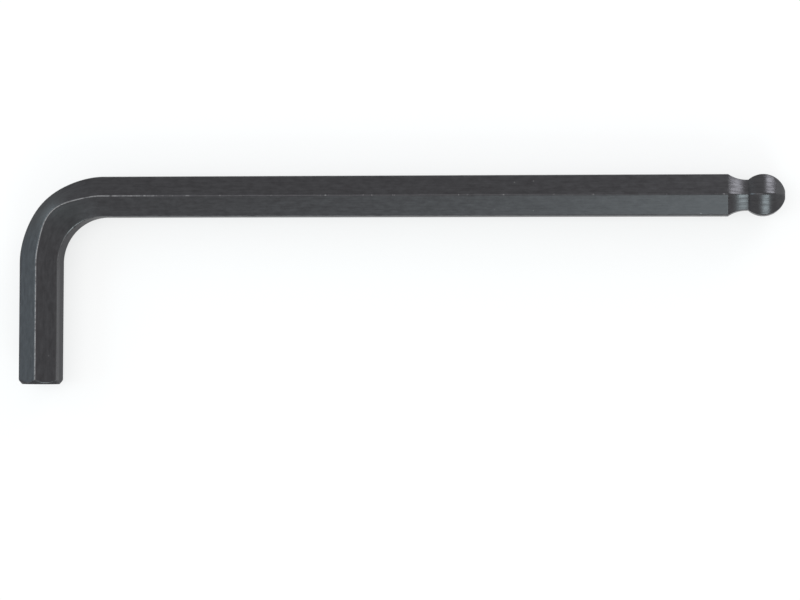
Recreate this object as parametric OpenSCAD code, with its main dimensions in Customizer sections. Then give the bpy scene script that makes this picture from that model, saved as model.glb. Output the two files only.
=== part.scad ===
// Bent hexagon key with a ball end on its long arm, made from one steel bar.
// It lies flat: the long arm runs along X and the short arm along -Y. Both
// rest on a corner edge at z = 0, with the opposite corner edge on top.

/* [Bar] */
// Distance across two opposite flats of the hexagon
across_flats = 10; // [8:0.5:12]
// How far the bar's corner edges are turned down from sharp
corner_cut = 0.1; // [0.05:0.01:0.3]

/* [Arms] */
// Overall length along the long arm, from the back of the bend to the tip
long_arm = 190; // [120:1:260]
// Overall length along the short arm, from the back of the bend to its end
short_arm = 52; // [40:0.5:90]
// Radius of the bend, measured to the middle of the bar
bend_r = 16.5; // [10:0.5:24]

/* [Ball end] */
// How far the ball's facets stay inside the bar's flats at the widest place
ball_relief = 0.02; // [0.01:0.01:0.3]
// How far past the bar's axis the centre of each facet's arc lies
facet_offset = 0.5; // [0.1:0.05:0.8]
// How far the ball's corner edges are turned down from sharp
ball_edge_cut = 0.15; // [0.1:0.01:0.3]
// Distance across the flat faced on the ball's tip
tip_flat = 2; // [1:0.1:3.2]
// Depth of the neck's hollows below the bar's flats
neck_depth = 1.35; // [1:0.05:1.6]
// Radius of the neck's hollows
neck_r = 8; // [6.5:0.1:10]
// Distance from the ball's widest place back to the neck's thinnest place
neck_run = 4; // [3.5:0.1:4.5]

/* [Short arm end] */
// Length of the turned chamfer along the corner edges
chamfer_l = 1.1; // [0.5:0.1:2]
// Depth of the turned chamfer below the corner edges
chamfer_d = 1; // [0.4:0.1:1.5]

/* [Hidden] */
$fn = 96;

// Distance from the bar's axis to a sharp corner, and to the corner edge as turned
sharp_reach = across_flats / sqrt(3);
corner_reach = sharp_reach - corner_cut;
// Half the size of a block that clears the bar all round
bar_clear = across_flats;

// Straight lengths of the two arms, from the bend to the tip and to the end
long_straight = long_arm - bend_r - across_flats / 2;
short_straight = short_arm - bend_r - across_flats / 2;

// The ball's facets are arcs whose centres lie just past the axis
ball_half = across_flats / 2 - ball_relief;
facet_r = ball_half + facet_offset;
ball_edge_r = ball_half * 2 / sqrt(3) - ball_edge_cut;
ball_from_tip = sqrt(pow(facet_r, 2) - pow(tip_flat / 2 + facet_offset, 2));

// The bar is necked behind the ball, and its end lies inside the ball
neck_half = across_flats / 2 - neck_depth;
neck_x = long_straight - ball_from_tip - neck_run;
bar_end_x = neck_x + neck_run / 2;

// Section of the bar: flats face along X, and a corner edge points along Y
module bar_section() {
    intersection() {
        rotate(90) circle(r = sharp_reach, $fn = 6);
        circle(r = corner_reach);
    }
}

// Straight bar from the origin along +X
module straight_bar(length) {
    rotate([90, 0, 90]) linear_extrude(height = length) bar_section();
}

// Six copies of the children, each turned to face one flat of the long arm
module at_each_flat() {
    for (turn = [0 : 60 : 300])
        rotate([turn, 0, 0]) children();
}

// Long arm with a hollow cut into each flat behind the ball
module necked_bar() {
    difference() {
        straight_bar(bar_end_x);
        at_each_flat()
            translate([neck_x, neck_half + neck_r, 0])
                cylinder(r = neck_r, h = 2 * bar_clear, center = true);
    }
}

// Ball with six arched facets, centred on the origin: corner edges turned down,
// tip faced flat, and its back left inside the neck
module ball() {
    intersection() {
        intersection_for (turn = [0 : 60 : 300])
            rotate([turn, 0, 0])
                translate([0, -facet_offset, 0])
                    cylinder(r = facet_r, h = 2 * bar_clear, center = true);
        sphere(r = ball_edge_r);
        translate([-neck_run, -bar_clear, -bar_clear])
            cube([neck_run + ball_from_tip, 2 * bar_clear, 2 * bar_clear]);
    }
}

// Quarter bend from the origin, starting along -X and turning left
module bend() {
    translate([0, -bend_r, 0])
        rotate(90)
            rotate_extrude(angle = 90)
                translate([bend_r, 0]) bar_section();
}

// Solid of revolution that clears the bar but for its end, which it chamfers.
// It stands on the origin along +Z, with that end down.
module turned_end(length) {
    rotate_extrude()
        polygon([
            [0, 0],
            [corner_reach - chamfer_d, 0],
            [corner_reach + chamfer_d, 2 * chamfer_l],
            [corner_reach + chamfer_d, length],
            [0, length]
        ]);
}

// Short arm from the end of the bend along -Y, with its end chamfered
module short_arm_bar() {
    translate([-bend_r, -bend_r, 0])
        intersection() {
            rotate(-90) straight_bar(short_straight + chamfer_l);
            translate([0, -short_straight, 0])
                rotate([-90, 0, 0]) turned_end(short_straight + chamfer_l);
        }
}

// The whole key, with the middle of its outer box over the origin
module hex_key() {
    color([0.2, 0.21, 0.22])
        translate([
            long_arm / 2 - long_straight,
            (short_arm - across_flats) / 2,
            corner_reach
        ]) {
            necked_bar();
            translate([long_straight - ball_from_tip, 0, 0]) ball();
            bend();
            short_arm_bar();
        }
}

hex_key();
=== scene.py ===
import math

import bpy
from mathutils import Euler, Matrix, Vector


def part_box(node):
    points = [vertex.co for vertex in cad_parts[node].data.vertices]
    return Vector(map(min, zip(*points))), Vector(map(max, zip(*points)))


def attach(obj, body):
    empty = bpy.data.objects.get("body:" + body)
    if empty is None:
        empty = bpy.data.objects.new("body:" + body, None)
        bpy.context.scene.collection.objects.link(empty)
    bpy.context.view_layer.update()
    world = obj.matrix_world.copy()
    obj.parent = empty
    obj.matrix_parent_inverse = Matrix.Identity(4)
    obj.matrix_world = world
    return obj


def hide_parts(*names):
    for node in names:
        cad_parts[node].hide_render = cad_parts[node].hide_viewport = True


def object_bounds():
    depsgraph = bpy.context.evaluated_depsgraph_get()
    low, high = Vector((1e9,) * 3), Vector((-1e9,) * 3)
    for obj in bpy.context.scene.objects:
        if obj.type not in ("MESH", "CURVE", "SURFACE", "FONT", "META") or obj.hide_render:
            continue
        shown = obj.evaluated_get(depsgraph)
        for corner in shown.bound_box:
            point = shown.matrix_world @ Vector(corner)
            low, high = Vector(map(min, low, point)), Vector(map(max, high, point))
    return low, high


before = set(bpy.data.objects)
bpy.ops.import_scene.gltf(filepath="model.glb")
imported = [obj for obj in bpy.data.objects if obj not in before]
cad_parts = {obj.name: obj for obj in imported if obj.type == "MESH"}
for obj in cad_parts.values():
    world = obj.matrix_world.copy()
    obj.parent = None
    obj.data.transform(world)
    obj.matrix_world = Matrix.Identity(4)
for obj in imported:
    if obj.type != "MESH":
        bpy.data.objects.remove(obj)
cadLow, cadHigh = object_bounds()
print("frame loaded")


# Node maths

class Flow:
    # An output socket of a node tree. Arithmetic on it adds Math nodes to that tree.
    def __init__(self, tree, socket=None):
        self.tree = tree
        self.socket = socket

    # Any node: settings are set first, then the values or links of its input sockets
    def node(self, kind, settings=None, inputs=None, output=0):
        made = self.tree.nodes.new(kind)
        for name, value in (settings or {}).items():
            setattr(made, name, value)
        for name, value in (inputs or {}).items():
            if isinstance(value, Flow):
                self.tree.links.new(value.socket, made.inputs[name])
            else:
                made.inputs[name].default_value = value
        return Flow(self.tree, made.outputs[output]) if made.outputs else None

    def math(self, operation, *values, clamp=False):
        settings = {"operation": operation, "use_clamp": clamp}
        return self.node("ShaderNodeMath", settings, dict(enumerate(values)))

    def vectorMath(self, operation, *values):
        return self.node("ShaderNodeVectorMath", {"operation": operation}, dict(enumerate(values)))

    def split(self):
        return [self.node("ShaderNodeSeparateXYZ", inputs={0: self}, output=axis) for axis in range(3)]

    def __add__(self, other):
        return self.math("ADD", self, other)

    def __sub__(self, other):
        return self.math("SUBTRACT", self, other)

    def __rsub__(self, other):
        return self.math("SUBTRACT", other, self)

    def __mul__(self, other):
        return self.math("MULTIPLY", self, other)

    def __truediv__(self, other):
        return self.math("DIVIDE", self, other)

    def __rtruediv__(self, other):
        return self.math("DIVIDE", other, self)

    def __pow__(self, other):
        return self.math("POWER", self, other)

    __radd__ = __add__
    __rmul__ = __mul__

    def sin(self):
        return self.math("SINE", self)

    def cos(self):
        return self.math("COSINE", self)

    # 0 before low, 1 after high, straight or smooth in between
    def between(self, low, high, smooth=False):
        settings = {"interpolation_type": "SMOOTHSTEP" if smooth else "LINEAR", "clamp": True}
        return self.node("ShaderNodeMapRange", settings, {"Value": self, "From Min": low, "From Max": high})

    # The first colour at 0, the second at 1
    def mixColour(self, first, second):
        return self.node("ShaderNodeMix", {"data_type": "RGBA"}, {0: self, 6: first, 7: second}, 2)

    # Noise with its own number of cells per metre along each axis; the seed moves it off
    def noise(self, stretch, detail, roughness, seed):
        scaled = self.vectorMath("MULTIPLY", self, stretch)
        moved = self.vectorMath("ADD", scaled, (seed, seed * 1.7, seed * 0.6))
        inputs = {"Vector": moved, "Scale": 1.0, "Detail": detail, "Roughness": roughness}
        return self.node("ShaderNodeTexNoise", {"noise_dimensions": "3D"}, inputs)


# Blackened steel, in the bar's own coordinates: x along the bent axis from the short arm's end,
# y and z across its section, so that draw lines follow the bend

steel = {
    "dark": (0.034, 0.0328, 0.035, 1.0),
    "pale": (0.0545, 0.0537, 0.057, 1.0),
    # bright metal of worn edges, also the colour of the painted highlights, glints and reflection
    "wornAndSheen": (0.120, 0.120, 0.124, 1.0),
    "nick": (0.14, 0.14, 0.14, 1.0),
    "bendShade": (0.025, 0.025, 0.026, 1.0),  # painted shade on the inner and painted sheen on the outer side of the bend
    "bendSheen": (0.065, 0.066, 0.067, 1.0),
    "rimTint": (0.62, 0.62, 0.63, 1.0),  # keeps the dark finish dark at a glancing angle
    "metallic": 0.9,
    "roughness": 0.36,
    "machinedRoughness": 0.295,
    "wornRoughness": 0.30,
    "bumpDepth": 0.000012,
    "textures": {
        # cells per metre along, outwards and up; detail; roughness; seed
        # lines and cuts are draw lines on the bar and grinding marks on the neck and the ball
        "lines": ((130.0, 3500.0, 3500.0), 4.0, 0.6, 0.0),
        "mottle": ((460.0, 950.0, 950.0), 4.0, 0.65, 3.0),
        "grain": ((8000.0, 8000.0, 8000.0), 2.0, 0.5, 5.0),
        "specks": ((1500.0, 2600.0, 2600.0), 3.0, 0.65, 9.0),
        "cuts": ((25.0, 1300.0, 1300.0), 2.0, 0.6, 21.0),
        "runs": ((620.0, 120.0, 120.0), 5.0, 0.8, 14.0),
    },
    # what the textures add to the tone, from dark to pale, and to the roughness and the relief
    "toneShares": {"mottle": 0.65, "lines": 0.35},
    "toneRange": (0.31, 0.69),
    "cutRange": (0.36, 0.64),
    "machinedTone": {"calm": 0.4, "cuts": 0.5, "lift": 0.2},
    "roughShares": {"mottle": 0.16, "lines": 0.14, "cuts": 0.12},
    "reliefShares": {"lines": 0.55, "machinedLines": 0.9, "grain": 0.35, "specks": 0.30},
    "machinedLead": 0.0001,  # half the length over which the milled finish sets in
    "sideLead": 0.05,  # half the width over which inner turns to outer, in half flats
}
# Wear of the finish, and the painted highlights, glints and reflection that share its colour
wearAndSheen = {
    "width": 0.00024,  # how far from a corner edge the wear reaches
    "core": 0.4,  # share of that width that is fully worn
    "topEdge": (0.7, 0.95),  # height where the top edge's own wear and painted highlight set in, in reaches
    "topRuns": (0.66, 0.86),  # noise levels between which the top edge is worn or painted bright
    "glintRuns": (0.585, 0.635),  # and between which it shows rare painted glints, all along
    "glintShare": 0.9,
    "otherRuns": (0.30, 0.56),
    "otherShare": 0.95,
    "paintedTopSheen": 0.32,  # painted highlight that the short arm and the bend add to the noise of the top edge
    "fade": 0.042,  # length of the long arm over which that painted highlight is lost
    "innerHighlight": 0.42,  # painted highlight band on the inner flat of the short arm
    "innerHighlightSide": (0.90, 0.97),  # its limits outwards, up and along
    "innerHighlightHeight": (0.1, 0.45),
    "innerHighlightEnd": (0.9, 1.2),
    "tip": (0.0027, 0.0017),  # distances from the ball's tip between which its painted reflection sets in
    "tipShare": 0.1,
    "outerTipReflectionShare": 0.33,
    "nickCells": 420.0,
    "nickSize": (0.03, 0.09),
    "nickChance": (0.9, 0.96),
}
# Painted shade and sheen on the bend's inner and outer sides
bendPaintedLight = {
    "innerPeak": 0.93,  # radians into the bend
    "outerPeak": 0.72,
    "spread": 0.5,
    "bendShade": 0.62,  # how far the colour goes over at each peak
    "bendSheen": 0.5,
}


# How far the finish is worn to bright metal, or painted bright as a highlight or reflection, from 0 to 1
def wearAndSheenShare(start, sizes, place, edgeGap, machined, onOuter, runs):
    along, outward, height = place.split()
    half, reach = sizes["half"], sizes["reach"]

    # Corner edges are rubbed bright in broken runs. The top edge adds a painted highlight, strong on the
    # short arm and the bend and thinning out along the long arm
    nearEdge = 1 - edgeGap.between(wearAndSheen["width"] * wearAndSheen["core"], wearAndSheen["width"], smooth=True)
    upper = height.between(*(reach * limit for limit in wearAndSheen["topEdge"]))
    paintedTopSheen = 1 - along.between(sizes["bendEnd"], sizes["bendEnd"] + wearAndSheen["fade"], smooth=True)
    topWearAndSheen = (runs + paintedTopSheen * wearAndSheen["paintedTopSheen"]).between(*wearAndSheen["topRuns"])
    # Rare painted glints along the top edge
    paintedGlints = runs.between(*wearAndSheen["glintRuns"]) * wearAndSheen["glintShare"]
    topWearAndSheen = start.math("MAXIMUM", topWearAndSheen, paintedGlints)
    otherWear = runs.between(*wearAndSheen["otherRuns"]) * wearAndSheen["otherShare"]
    wornAndSheen = (upper * topWearAndSheen + (1 - upper) * otherWear) * nearEdge * (1 - machined)

    # A painted highlight runs along the upper edge of the short arm's inner flat
    innerEdgeHighlight = (outward * -1).between(*(half * limit for limit in wearAndSheen["innerHighlightSide"]))
    innerEdgeHighlight = innerEdgeHighlight * height.between(*(half * limit for limit in wearAndSheen["innerHighlightHeight"]), smooth=True)
    lost = along.between(*(sizes["shortStraight"] * limit for limit in wearAndSheen["innerHighlightEnd"]))
    innerEdgeHighlight = innerEdgeHighlight * (1 - lost)

    # A painted reflection lightens the ball near its tip, more on the facets on the outer side
    tipAt = sizes["bendEnd"] + sizes["longStraight"]
    tipReflection = along.between(*(tipAt - distance for distance in wearAndSheen["tip"]), smooth=True)
    tipReflection = tipReflection * (onOuter * wearAndSheen["outerTipReflectionShare"] + wearAndSheen["tipShare"])
    return wornAndSheen + innerEdgeHighlight * wearAndSheen["innerHighlight"] + tipReflection


# A few tiny nicks, one in some of the cells that the surface is divided into
def nicks(start, place):
    cell = {"Vector": place, "Scale": wearAndSheen["nickCells"]}
    distance = start.node("ShaderNodeTexVoronoi", inputs=cell, output="Distance")
    lot = start.node("ShaderNodeTexVoronoi", inputs=cell, output="Color")
    chosen = start.node("ShaderNodeSeparateColor", inputs={0: lot}).between(*wearAndSheen["nickChance"])
    return (1 - distance.between(*wearAndSheen["nickSize"])) * chosen


# Painted shade on the bend's inner side and a painted sheen on its outer side, each strongest at its own
# angle into the bend
def paintBendLight(start, sizes, along, onOuter, colour):
    bendAngle = (along - sizes["shortStraight"]) / sizes["bendRadius"]
    peak = bendPaintedLight["innerPeak"] - onOuter * (bendPaintedLight["innerPeak"] - bendPaintedLight["outerPeak"])
    nearPeak = 1 - start.math("ABSOLUTE", bendAngle - peak).between(0.0, bendPaintedLight["spread"], smooth=True)
    colour = (nearPeak * (1 - onOuter) * bendPaintedLight["bendShade"]).mixColour(colour, steel["bendShade"])
    return (nearPeak * onOuter * bendPaintedLight["bendSheen"]).mixColour(colour, steel["bendSheen"])


def makeSteel(sizes):
    material = bpy.data.materials.new("blackenedSteel")
    material.use_nodes = True
    tree = material.node_tree
    tree.nodes.clear()
    start = Flow(tree)
    place = start.node("ShaderNodeAttribute", {"attribute_name": "barSpace"}, output="Vector")
    edgeGap = start.node("ShaderNodeAttribute", {"attribute_name": "edgeGap"}, output="Fac")
    along, outward, _ = place.split()
    onOuter = outward.between(-steel["sideLead"] * sizes["half"], steel["sideLead"] * sizes["half"])
    machined = along.between(
        sizes["neckStart"] - steel["machinedLead"], sizes["neckStart"] + steel["machinedLead"])

    textures = {name: place.noise(*texture) for name, texture in steel["textures"].items()}
    lines, mottle = textures["lines"], textures["mottle"]
    cuts = textures["cuts"].between(*steel["cutRange"]) * machined
    wornAndSheen = wearAndSheenShare(start, sizes, place, edgeGap, machined, onOuter, textures["runs"])

    shares = steel["toneShares"]
    tone = (mottle * shares["mottle"] + lines * shares["lines"]).between(*steel["toneRange"])
    shares = steel["machinedTone"]
    tone = tone * (1 - machined * shares["calm"]) + cuts * shares["cuts"] + machined * shares["lift"]
    colour = tone.mixColour(steel["dark"], steel["pale"])
    # Painted shade and sheen on the bend
    colour = paintBendLight(start, sizes, along, onOuter, colour)
    # Rubbed bright metal, with painted highlights, glints and a painted reflection mixed in the same colour
    colour = wornAndSheen.mixColour(colour, steel["wornAndSheen"])
    colour = nicks(start, place).mixColour(colour, steel["nick"])

    shares = steel["roughShares"]
    rough = steel["roughness"] + (mottle - 0.5) * shares["mottle"] + (lines - 0.5) * shares["lines"]
    rough = rough + machined * (steel["machinedRoughness"] - steel["roughness"])
    rough = rough - (cuts - 0.5) * machined * shares["cuts"]
    rough = rough + wornAndSheen * (steel["wornRoughness"] - steel["roughness"])

    shares = steel["reliefShares"]
    relief = lines * (shares["lines"] + machined * shares["machinedLines"])
    relief = relief + textures["grain"] * shares["grain"] + textures["specks"] * shares["specks"]
    bump = start.node("ShaderNodeBump", inputs={
        "Strength": 1.0, "Distance": steel["bumpDepth"], "Height": relief}, output="Normal")

    shader = start.node("ShaderNodeBsdfPrincipled", inputs={
        "Base Color": colour,
        "Metallic": steel["metallic"],
        "Specular Tint": steel["rimTint"],
        "Roughness": rough,
        "Normal": bump,
    })
    start.node("ShaderNodeOutputMaterial", inputs={"Surface": shader})
    return material


# The key: one hexagon bar swept along its bent axis by Geometry Nodes. The bar's rows run from
# the middle of the short arm's end to the middle of the ball's tip; its columns run round it.

key = {
    "acrossFlats": 0.010,
    "bendRadius": 0.0165,
    "ballRelief": 0.00002,  # facets of the ball inside the bar's flats
    "facetOffset": 0.0005,  # centre of a facet's arc, past the bar's axis
    "tipFlat": 0.0020,
    "neckDepth": 0.00135,
    "neckRadius": 0.0080,
    "neckRun": 0.0040,  # from the ball's widest place back to the neck's thinnest
    "chamferLength": 0.0011,
    "chamferDepth": 0.0010,
    "chamferBlend": 0.00012,  # how softly the chamfer meets the flats
    "neckCorner": 0.00025,  # corner radii of the neck, and of the ball where it is widest
    "ballCorner": 0.00055,
    "edgeDrift": 0.00125,  # how far the cold bend pushes the upper and lower edges outwards
    "bendPeak": 0.0002,  # how far the bend's middle lies outside a true quarter turn
    "bendPinch": 0.00008,  # how far its outer flat is drawn in before and after the middle
    "creaseLead": 0.00012,  # length of the last row before the neck
    "crispAngle": 0.35,  # edges that turn more than this are shaded as creases
    "mergeGap": 0.000002,
}
keyRows = {
    "face": 4, "rim": 1, "chamfer": 24, "shortArm": 24, "bend": 72, "longArm": 48,
    "lead": 1, "neck": 30, "ball": 44, "tipRim": 1, "tip": 3,
}
cornerRows = {"neck": 6, "ball": 8}  # rows of the neck and the ball over which the corner radius changes
chamferSpan = 2.4  # the chamfer's rows cover this many times its length
keyColumns = {"flat": 5, "corner": 5}  # from the middle of a flat to the middle of a corner
lastSteps = {"flat": 0.06, "face": 0.03, "tip": 0.06}  # share of the narrow last step of each
# How steeply the distance to a rubbed or painted-bright edge grows down the chamfer, off its rim and into
# the end face
wearEnds = {"chamfer": 2, "rim": 3, "face": 0.01}


def workOutKey():
    low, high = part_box("hex_key")
    half = key["acrossFlats"] / 2
    sizes = dict(key)
    sizes["half"] = half
    sizes["reach"] = (high.z - low.z) / 2
    # A rounded corner that reaches as far as the frame's turned-down one
    sizes["corner"] = (half * 2 / math.sqrt(3) - sizes["reach"]) / (2 / math.sqrt(3) - 1)
    sizes["shortStraight"] = high.y - low.y - key["bendRadius"] - half
    sizes["longStraight"] = high.x - low.x - key["bendRadius"] - half
    sizes["bendEnd"] = sizes["shortStraight"] + key["bendRadius"] * math.pi / 2
    sizes["bendCentre"] = Vector((
        low.x + half + key["bendRadius"], high.y - half - key["bendRadius"], (low.z + high.z) / 2))

    sizes["ballHalf"] = half - key["ballRelief"]
    sizes["facetRadius"] = sizes["ballHalf"] + key["facetOffset"]
    sizes["neckHalf"] = half - key["neckDepth"]
    sizes["tipAngle"] = math.acos((key["tipFlat"] / 2 + key["facetOffset"]) / sizes["facetRadius"])
    ballX = sizes["longStraight"] - sizes["facetRadius"] * math.sin(sizes["tipAngle"])
    neckX = ballX - key["neckRun"]
    sizes["neckFirst"] = -math.acos(1 - key["neckDepth"] / key["neckRadius"])
    # Crease where the neck's arc meets the facet's arc, from the two circles
    away = Vector((-key["neckRun"], sizes["neckHalf"] + key["neckRadius"] + key["facetOffset"]))
    chord = (sizes["facetRadius"] ** 2 - key["neckRadius"] ** 2 + away.length_squared) / (2 * away.length)
    aside = math.sqrt(sizes["facetRadius"] ** 2 - chord ** 2)
    creaseX = (away.x * chord - away.y * aside) / away.length
    sizes["ballFirst"] = math.asin(creaseX / sizes["facetRadius"])
    sizes["neckLast"] = math.asin((creaseX + key["neckRun"]) / key["neckRadius"])
    sizes["neckStart"] = sizes["bendEnd"] + neckX + key["neckRadius"] * math.sin(sizes["neckFirst"])
    return sizes


# Along the bar: distance along the bent axis, from the axis to a flat, and the corner radius
def barStations(size, sizes, row):
    # How much of each stretch of rows lies behind a row, from 0 to 1
    done, firstRow, first = {}, {}, 0
    for name, count in keyRows.items():
        done[name] = row.between(first, first + count)
        firstRow[name] = first
        first += count
    neckAngle = sizes["neckFirst"] + done["neck"] * (sizes["neckLast"] - sizes["neckFirst"])
    ballAngle = sizes["ballFirst"] + done["ball"] * (sizes["tipAngle"] - sizes["ballFirst"])

    chamferEnd = size["Chamfer Length"] * chamferSpan
    along = (
        chamferEnd * done["chamfer"]
        + (size["Short Straight"] - chamferEnd) * done["shortArm"]
        + size["Bend Radius"] * (math.pi / 2) * done["bend"]
        + size["Plain Long Arm"] * done["longArm"]
        + sizes["creaseLead"] * done["lead"]
        + size["Neck Radius"] * (neckAngle.sin() - math.sin(sizes["neckFirst"]))
        + size["Facet Radius"] * (ballAngle.sin() - math.sin(sizes["ballFirst"]))
    )
    flatAt = (
        size["Half Across Flats"] - size["Neck Depth"]
        + size["Neck Radius"] * (1 - neckAngle.cos())
        + size["Facet Radius"] * (ballAngle.cos() - math.cos(sizes["ballFirst"]))
    )
    ontoNeck = row.between(firstRow["neck"], firstRow["neck"] + cornerRows["neck"])
    ontoBall = row.between(firstRow["ball"], firstRow["ball"] + cornerRows["ball"])
    ballCorner = flatAt * (sizes["ballCorner"] / sizes["ballHalf"])
    cornerAt = size["Corner Radius"] + (sizes["neckCorner"] - size["Corner Radius"]) * ontoNeck
    cornerAt = cornerAt + (ballCorner - sizes["neckCorner"]) * ontoBall
    return done, along, flatAt, cornerAt


# Round the bar: six flats, each from corner to corner, with rounded corners
def barSection(start, size, sizes, row, column):
    done, along, flatAt, cornerAt = barStations(size, sizes, row)
    perHalf = keyColumns["flat"] + keyColumns["corner"]
    sector = start.math("FLOOR", column / (2 * perHalf))
    inSector = column - sector * (2 * perHalf) - perHalf
    steps = start.math("ABSOLUTE", inSector)
    side = start.math("SIGN", inSector)
    nearFlat = steps.between(0, keyColumns["flat"] - 1) * (1 - lastSteps["flat"])
    nearFlat = nearFlat + steps.between(keyColumns["flat"] - 1, keyColumns["flat"]) * lastSteps["flat"]
    turn = steps.between(keyColumns["flat"], perHalf) * (math.pi / 6)
    flatWidth = (flatAt - cornerAt) * math.tan(math.pi / 6)
    outFrom = flatAt - cornerAt + cornerAt * turn.cos()
    aside = side * (flatWidth * nearFlat + cornerAt * turn.sin())
    facing = sector * (math.pi / 3)
    outward = outFrom * facing.cos() - aside * facing.sin()
    upward = outFrom * facing.sin() + aside * facing.cos()

    # The turned chamfer of the short arm, and the two end faces
    radius = start.math("SQRT", outward * outward + upward * upward)
    slope = size["Chamfer Depth"] / size["Chamfer Length"]
    cone = sizes["reach"] - size["Chamfer Depth"] + along * slope
    turned = start.math("SMOOTH_MIN", radius, cone, sizes["chamferBlend"])
    opening = done["face"] * (1 - lastSteps["face"]) + done["rim"] * lastSteps["face"]
    closing = 1 - done["tipRim"] * lastSteps["tip"] - done["tip"] * (1 - lastSteps["tip"])
    shrink = turned / radius * opening * closing

    # Distance from the nearest edge that gets rubbed or painted bright: a corner edge, or the chamfer's rim
    cornerGap = flatWidth * (1 - nearFlat) + cornerAt * (math.pi / 6 - turn)
    cornerGap = cornerGap + (radius - turned) * wearEnds["chamfer"]
    rimGap = start.math("ABSOLUTE", cone - radius) * wearEnds["rim"] + (1 - opening) * wearEnds["face"]
    edgeGap = start.math("MINIMUM", cornerGap, rimGap)
    return along, outward * shrink, upward * shrink, edgeGap


# Where a point of the straight bar lies once the bar is bent
def bendBar(start, size, sizes, along, outward, upward):
    half, bendR, shortStraight = size["Half Across Flats"], size["Bend Radius"], size["Short Straight"]
    bent = (along - shortStraight) / bendR
    theta = start.math("MINIMUM", start.math("MAXIMUM", bent, 0.0), math.pi / 2)

    # The cold bend pushes the corner edges outwards and draws its outer flat in
    swell = (theta * 2).sin() ** 4
    outer = outward.between(-sizes["half"], sizes["half"])
    middle = 1 - (outward / half) ** 2
    pushed = swell * (middle * size["Edge Drift"] + outer * size["Bend Peak"])
    pinched = (theta * 4).sin() ** 2 * outer * size["Bend Pinch"]
    shifted = outward + pushed - pinched

    beforeBend = shortStraight - start.math("MINIMUM", along, shortStraight)
    pastBend = start.math("MAXIMUM", along - shortStraight - bendR * (math.pi / 2), 0.0)
    centre = sizes["bendCentre"]
    x = centre.x - (bendR + shifted) * theta.cos() + pastBend
    y = centre.y + (bendR + shifted) * theta.sin() - beforeBend
    return start.node("ShaderNodeCombineXYZ", inputs={0: x, 1: y, 2: centre.z + upward})


def buildKeyTree(sizes, material):
    tree = bpy.data.node_groups.new("hexKeyBar", "GeometryNodeTree")
    start = Flow(tree)
    tree.interface.new_socket(name="Geometry", in_out="OUTPUT", socket_type="NodeSocketGeometry")
    wanted = {
        "Half Across Flats": sizes["half"],
        "Corner Radius": sizes["corner"],
        "Bend Radius": sizes["bendRadius"],
        "Short Straight": sizes["shortStraight"],
        "Plain Long Arm": sizes["neckStart"] - sizes["bendEnd"] - sizes["creaseLead"],
        "Neck Depth": sizes["neckDepth"],
        "Neck Radius": sizes["neckRadius"],
        "Facet Radius": sizes["facetRadius"],
        "Chamfer Length": sizes["chamferLength"],
        "Chamfer Depth": sizes["chamferDepth"],
        "Edge Drift": sizes["edgeDrift"],
        "Bend Peak": sizes["bendPeak"],
        "Bend Pinch": sizes["bendPinch"],
    }
    for name in wanted:
        tree.interface.new_socket(name=name, in_out="INPUT", socket_type="NodeSocketFloat")
    entry = tree.nodes.new("NodeGroupInput")
    size = {name: Flow(tree, entry.outputs[name]) for name in wanted}

    # A plain grid, whose rows and columns are counted and then moved into place
    rows = sum(keyRows.values())
    columns = 6 * 2 * sum(keyColumns.values())
    mesh = start.node("GeometryNodeMeshGrid", inputs={
        "Size X": float(rows), "Size Y": float(columns), "Vertices X": rows + 1, "Vertices Y": columns + 1})
    gridX, gridY, _ = start.node("GeometryNodeInputPosition").split()
    row = start.math("ROUND", gridX + rows / 2)
    column = start.math("ROUND", gridY + columns / 2)
    along, outward, upward, edgeGap = barSection(start, size, sizes, row, column)
    barSpace = start.node("ShaderNodeCombineXYZ", inputs={0: along, 1: outward, 2: upward})
    spot = bendBar(start, size, sizes, along, outward, upward)

    mesh = start.node("GeometryNodeStoreNamedAttribute", {"data_type": "FLOAT_VECTOR", "domain": "POINT"},
                      {"Geometry": mesh, "Name": "barSpace", "Value": barSpace})
    mesh = start.node("GeometryNodeStoreNamedAttribute", {"data_type": "FLOAT", "domain": "POINT"},
                      {"Geometry": mesh, "Name": "edgeGap", "Value": edgeGap})
    mesh = start.node("GeometryNodeSetPosition", inputs={"Geometry": mesh, "Position": spot})
    mesh = start.node("GeometryNodeMergeByDistance",
                      inputs={"Geometry": mesh, "Distance": sizes["mergeGap"]})
    mesh = start.node("GeometryNodeSetShadeSmooth", inputs={"Geometry": mesh})
    edgeTurn = start.node("GeometryNodeInputMeshEdgeAngle")
    crisp = start.node("FunctionNodeCompare", {"operation": "GREATER_THAN"},
                       {0: edgeTurn, 1: sizes["crispAngle"]})
    mesh = start.node("GeometryNodeSetShadeSmooth", {"domain": "EDGE"},
                      {"Geometry": mesh, "Selection": crisp, "Shade Smooth": False})
    mesh = start.node("GeometryNodeRealizeInstances", inputs={"Geometry": mesh})
    mesh = start.node("GeometryNodeSetMaterial", inputs={"Geometry": mesh, "Material": material})
    start.node("NodeGroupOutput", inputs={"Geometry": mesh})
    return tree, wanted


def makeKey(sizes, material):
    tree, wanted = buildKeyTree(sizes, material)
    carrier = bpy.data.objects.new("hexKeyCarrier", bpy.data.meshes.new("hexKeyCarrier"))
    bpy.context.scene.collection.objects.link(carrier)
    modifier = carrier.modifiers.new("bar", "NODES")
    modifier.node_group = tree
    for socket in tree.interface.items_tree:
        if socket.in_out == "INPUT":
            modifier[socket.identifier] = wanted[socket.name]
    depsgraph = bpy.context.evaluated_depsgraph_get()
    mesh = bpy.data.meshes.new_from_object(carrier.evaluated_get(depsgraph), depsgraph=depsgraph)
    carrier.modifiers.remove(modifier)
    bpy.data.objects.remove(carrier)
    mesh.name = "hexKeyBar"
    piece = bpy.data.objects.new("hexKeyBar", mesh)
    bpy.context.scene.collection.objects.link(piece)
    return piece


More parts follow.
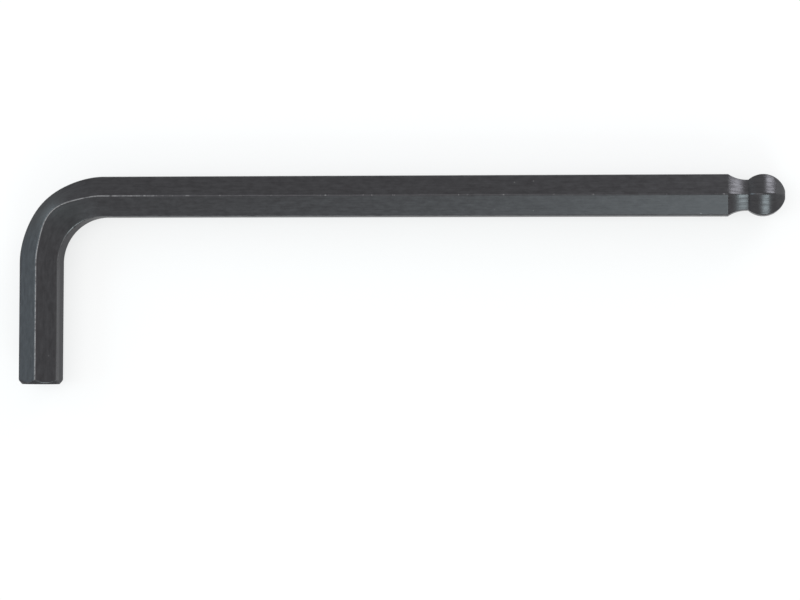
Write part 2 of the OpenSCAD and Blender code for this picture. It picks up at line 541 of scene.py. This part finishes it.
keySizes = workOutKey()
hexKey = makeKey(keySizes, makeSteel(keySizes))
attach(hexKey, "root")
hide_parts("hex_key")
print("key made:", len(hexKey.data.polygons), "faces")


# Floor, world and lamps

studio = {
    "floorSize": 8.0,
    "floorColour": (0.24, 0.24, 0.24, 1.0),
    "floorLift": 0.71,  # added for rays that see the floor, so that it reads white
    "worldFill": 0.72,
    "lampTarget": (0.0, 0.0, 0.005),
    "lamps": {
        # name: place, size across and down, strength per square metre, colour
        "overhead": ((-0.25, 0.0, 0.80), (0.34, 0.60), 2.4, (1.0, 1.0, 1.0)),
        "nearRight": ((0.26, -0.65, 0.43), (0.42, 0.30), 6.1, (0.83, 1.0, 1.0)),
        "farRight": ((0.46, 0.62, 0.25), (0.44, 0.32), 6.6, (0.94, 0.96, 1.0)),
        "nearLeft": ((-0.04, -0.68, 0.45), (0.18, 0.26), 0.9, (0.83, 1.0, 1.0)),
        "left": ((-0.80, 0.0, 0.42), (0.46, 0.36), 2.85, (0.60, 0.89, 1.0)),
        "farLeft": ((-0.72, 0.42, 0.40), (0.34, 0.32), 4.4, (0.72, 0.93, 1.0)),
    },
}


def seenRays(start):
    # 1 for rays from the camera or off the steel, which see the white surroundings
    camera, glossy, through = (
        start.node("ShaderNodeLightPath", output=name)
        for name in ("Is Camera Ray", "Is Glossy Ray", "Is Transmission Ray"))
    return start.math("ADD", camera + glossy, through, clamp=True)


def makeFloor():
    material = bpy.data.materials.new("paleFloor")
    material.use_nodes = True
    tree = material.node_tree
    tree.nodes.clear()
    start = Flow(tree)
    board = start.node("ShaderNodeBsdfDiffuse", inputs={"Color": studio["floorColour"]})
    lift = start.node("ShaderNodeEmission", inputs={"Strength": seenRays(start) * studio["floorLift"]})
    both = start.node("ShaderNodeAddShader", inputs={0: board, 1: lift})
    start.node("ShaderNodeOutputMaterial", inputs={"Surface": both})
    mesh = bpy.data.meshes.new("floor")
    reach = studio["floorSize"] / 2
    level = cadLow.z
    corners = [(x * reach, y * reach, level) for x, y in ((-1, -1), (1, -1), (1, 1), (-1, 1))]
    mesh.from_pydata(corners, [], [(0, 1, 2, 3)])
    mesh.materials.append(material)
    floor = bpy.data.objects.new("floor", mesh)
    bpy.context.scene.collection.objects.link(floor)


def makeWorld():
    world = bpy.data.worlds.new("studioWorld")
    world.use_nodes = True
    tree = world.node_tree
    tree.nodes.clear()
    start = Flow(tree)
    strength = studio["worldFill"] + seenRays(start) * (1 - studio["worldFill"])
    air = start.node("ShaderNodeBackground", inputs={"Color": (1.0, 1.0, 1.0, 1.0), "Strength": strength})
    start.node("ShaderNodeOutputWorld", inputs={"Surface": air})
    bpy.context.scene.world = world


def makeLamps(target):
    for name, (place, size, strength, colour) in studio["lamps"].items():
        data = bpy.data.lights.new(name, "AREA")
        data.shape = "RECTANGLE"
        data.size, data.size_y = size
        data.energy = strength * math.pi * size[0] * size[1]
        data.color = colour
        lamp = bpy.data.objects.new(name, data)
        lamp.location = place
        lamp.rotation_euler = (target - Vector(place)).to_track_quat("-Z", "Y").to_euler()
        lamp.visible_camera = False
        bpy.context.scene.collection.objects.link(lamp)


makeFloor()
makeWorld()
makeLamps(Vector(studio["lampTarget"]))
print("studio made")


# The camera, nearly straight above the key

view = {
    "lens": 110.0,
    "sensor": 36.0,
    "distance": 0.6141,
    "aim": (-0.00029, -0.00440, -0.00448),
    "lean": (0.02256, 0.13022, 0.00528),  # turns about X, Y and Z
    "clip": (0.01, 50.0),
}


def makeCamera():
    data = bpy.data.cameras.new("camera")
    data.lens = view["lens"]
    data.sensor_width = view["sensor"]
    data.sensor_fit = "HORIZONTAL"
    data.clip_start, data.clip_end = view["clip"]
    camera = bpy.data.objects.new("camera", data)
    camera.rotation_euler = Euler(view["lean"], "XYZ")
    back = camera.rotation_euler.to_matrix() @ Vector((0.0, 0.0, view["distance"]))
    camera.location = Vector(view["aim"]) + back
    bpy.context.scene.collection.objects.link(camera)
    bpy.context.scene.camera = camera


makeCamera()
bpy.context.scene.view_settings.view_transform = "Standard"
